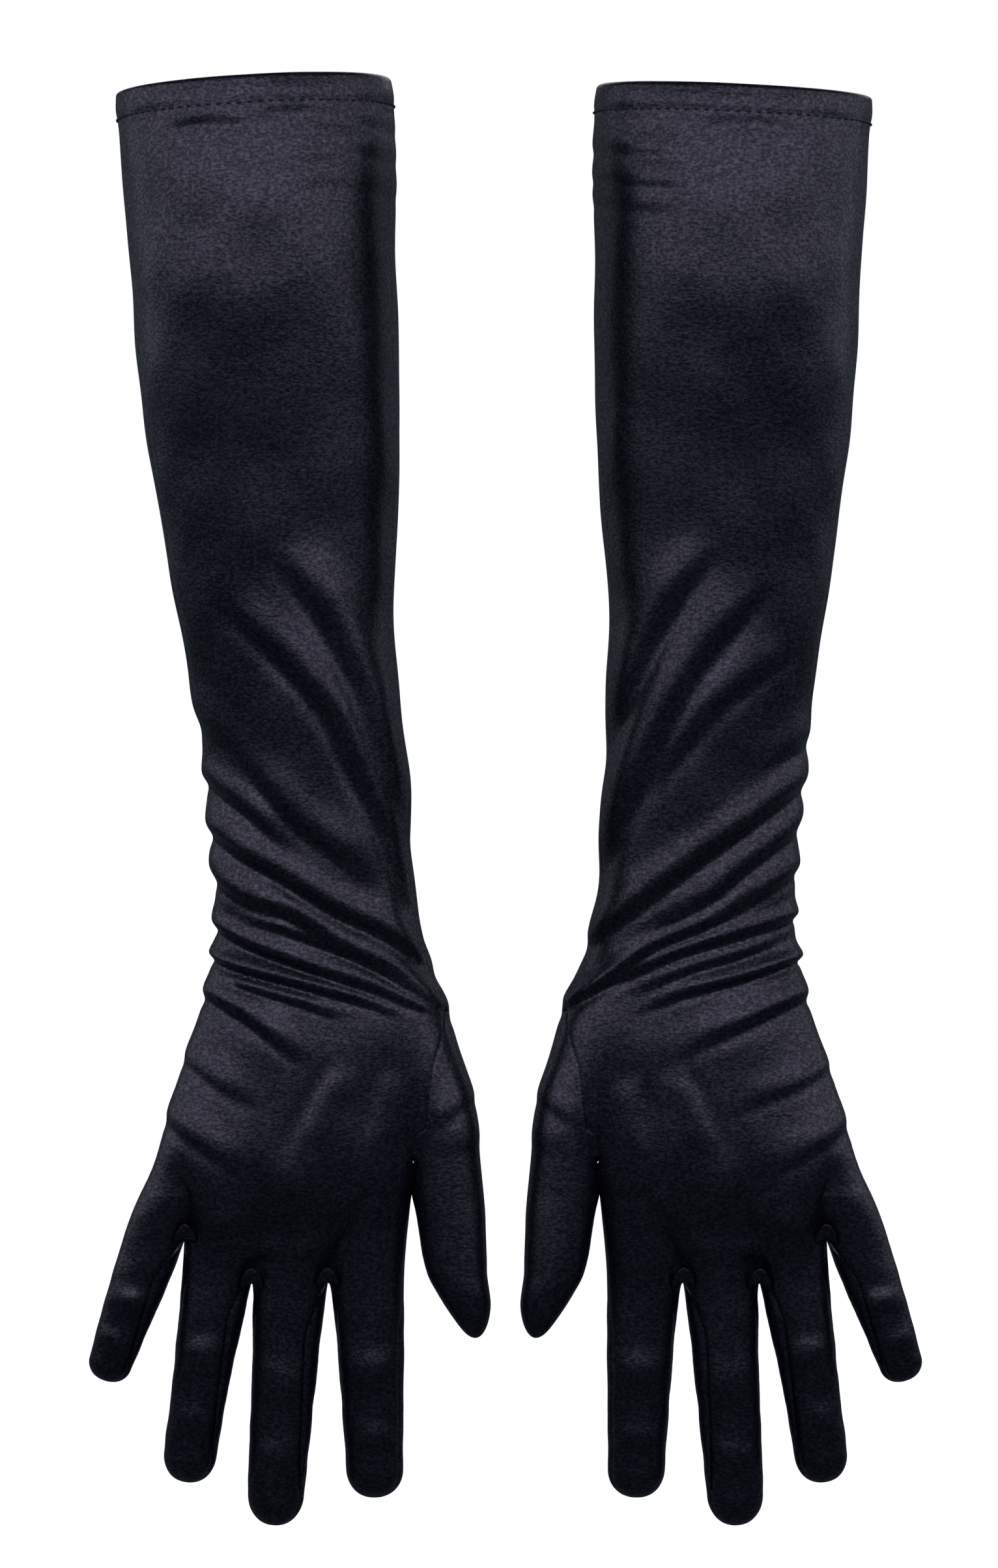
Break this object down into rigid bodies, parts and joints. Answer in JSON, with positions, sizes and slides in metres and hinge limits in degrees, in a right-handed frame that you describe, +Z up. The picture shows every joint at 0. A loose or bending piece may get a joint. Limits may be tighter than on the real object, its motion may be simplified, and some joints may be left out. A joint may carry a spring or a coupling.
{
  "type": "opera gloves",
  "caption": "Pair of elbow-length opera gloves in black stretch satin, in their worn shape, with back and palm panels, set-in thumbs, fourchettes, crotch gussets and topstitched hems.",
  "frame": {"origin": "point midway between the two cuff openings, at the level of both cuff rims", "axes": "+Z up along the forearms towards the elbows, so the fingers point down; +X from the right glove to the left glove; +Y towards the palms, with the backs of the hands facing -Y"},
  "size_m": [0.2526, 0.0818, 0.4434],
  "materials": {
    "satin": "black stretch satin with a soft sheen and a faint blue tint",
    "hem_thread": "black polyester sewing thread"
  },
  "bodies": {
    "right_sleeve": {"right_sleeve_back": "satin", "right_sleeve_palm": "satin", "right_hem_facing_back": "satin", "right_hem_facing_palm": "satin", "right_hem_thread": "hem_thread"},
    "right_hand": {"right_hand_back": "satin", "right_hand_palm": "satin", "right_thumb_base": "satin", "right_index_middle_gusset": "satin", "right_middle_ring_gusset": "satin", "right_ring_little_gusset": "satin"},
    "right_thumb": {"right_thumb_back": "satin", "right_thumb_palm": "satin"},
    "right_index": {"right_index_back": "satin", "right_index_palm": "satin", "right_index_fourchette_little_side": "satin"},
    "right_middle": {"right_middle_back": "satin", "right_middle_palm": "satin", "right_middle_fourchette_thumb_side": "satin", "right_middle_fourchette_little_side": "satin"},
    "right_ring": {"right_ring_back": "satin", "right_ring_palm": "satin", "right_ring_fourchette_thumb_side": "satin", "right_ring_fourchette_little_side": "satin"},
    "right_little": {"right_little_back": "satin", "right_little_palm": "satin", "right_little_fourchette_thumb_side": "satin"},
    "left_sleeve": {"left_sleeve_back": "satin", "left_sleeve_palm": "satin", "left_hem_facing_back": "satin", "left_hem_facing_palm": "satin", "left_hem_thread": "hem_thread"},
    "left_hand": {"left_hand_back": "satin", "left_hand_palm": "satin", "left_thumb_base": "satin", "left_index_middle_gusset": "satin", "left_middle_ring_gusset": "satin", "left_ring_little_gusset": "satin"},
    "left_thumb": {"left_thumb_back": "satin", "left_thumb_palm": "satin"},
    "left_index": {"left_index_back": "satin", "left_index_palm": "satin", "left_index_fourchette_little_side": "satin"},
    "left_middle": {"left_middle_back": "satin", "left_middle_palm": "satin", "left_middle_fourchette_thumb_side": "satin", "left_middle_fourchette_little_side": "satin"},
    "left_ring": {"left_ring_back": "satin", "left_ring_palm": "satin", "left_ring_fourchette_thumb_side": "satin", "left_ring_fourchette_little_side": "satin"},
    "left_little": {"left_little_back": "satin", "left_little_palm": "satin", "left_little_fourchette_thumb_side": "satin"}
  },
  "joints": [
    {"name": "right_wrist_bend", "type": "hinge", "parent": "right_sleeve", "child": "right_hand", "pos_m": [-0.0541, 0, -0.268], "axis": [1, 0, 0], "range_deg": [-35, 35]},
    {"name": "right_thumb_bend", "type": "hinge", "parent": "right_hand", "child": "right_thumb", "pos_m": [-0.0138, 0.00288, -0.3414], "axis": [0.9791, 0, 0.2036], "range_deg": [0, 60]},
    {"name": "right_index_bend", "type": "hinge", "parent": "right_hand", "child": "right_index", "pos_m": [-0.0393, 0.00276, -0.368], "axis": [0.9998, 0, 0.018], "range_deg": [0, 60]},
    {"name": "right_middle_bend", "type": "hinge", "parent": "right_hand", "child": "right_middle", "pos_m": [-0.0627, 0.00276, -0.3672], "axis": [0.9975, 0, -0.0707], "range_deg": [0, 60]},
    {"name": "right_ring_bend", "type": "hinge", "parent": "right_hand", "child": "right_ring", "pos_m": [-0.0837, 0.0027, -0.3626], "axis": [0.9882, 0, -0.1529], "range_deg": [0, 60]},
    {"name": "right_little_bend", "type": "hinge", "parent": "right_hand", "child": "right_little", "pos_m": [-0.1036, 0.0024, -0.3558], "axis": [0.9471, 0, -0.3209], "range_deg": [0, 60]},
    {"name": "left_wrist_bend", "type": "hinge", "parent": "left_sleeve", "child": "left_hand", "pos_m": [0.0611, 0, -0.268], "axis": [1, 0, 0], "range_deg": [-35, 35]},
    {"name": "left_thumb_bend", "type": "hinge", "parent": "left_hand", "child": "left_thumb", "pos_m": [0.0208, 0.00288, -0.3414], "axis": [0.9791, 0, -0.2036], "range_deg": [0, 60]},
    {"name": "left_index_bend", "type": "hinge", "parent": "left_hand", "child": "left_index", "pos_m": [0.0463, 0.00276, -0.368], "axis": [0.9998, 0, -0.018], "range_deg": [0, 60]},
    {"name": "left_middle_bend", "type": "hinge", "parent": "left_hand", "child": "left_middle", "pos_m": [0.0697, 0.00276, -0.3672], "axis": [0.9975, 0, 0.0707], "range_deg": [0, 60]},
    {"name": "left_ring_bend", "type": "hinge", "parent": "left_hand", "child": "left_ring", "pos_m": [0.0907, 0.0027, -0.3626], "axis": [0.9882, 0, 0.1529], "range_deg": [0, 60]},
    {"name": "left_little_bend", "type": "hinge", "parent": "left_hand", "child": "left_little", "pos_m": [0.1106, 0.0024, -0.3558], "axis": [0.9471, 0, 0.3209], "range_deg": [0, 60]},
    {"name": "left_glove_apart", "type": "slide", "parent": "right_sleeve", "child": "left_sleeve", "axis": [1, 0, 0], "range_m": [0, 0.06]}
  ]
}
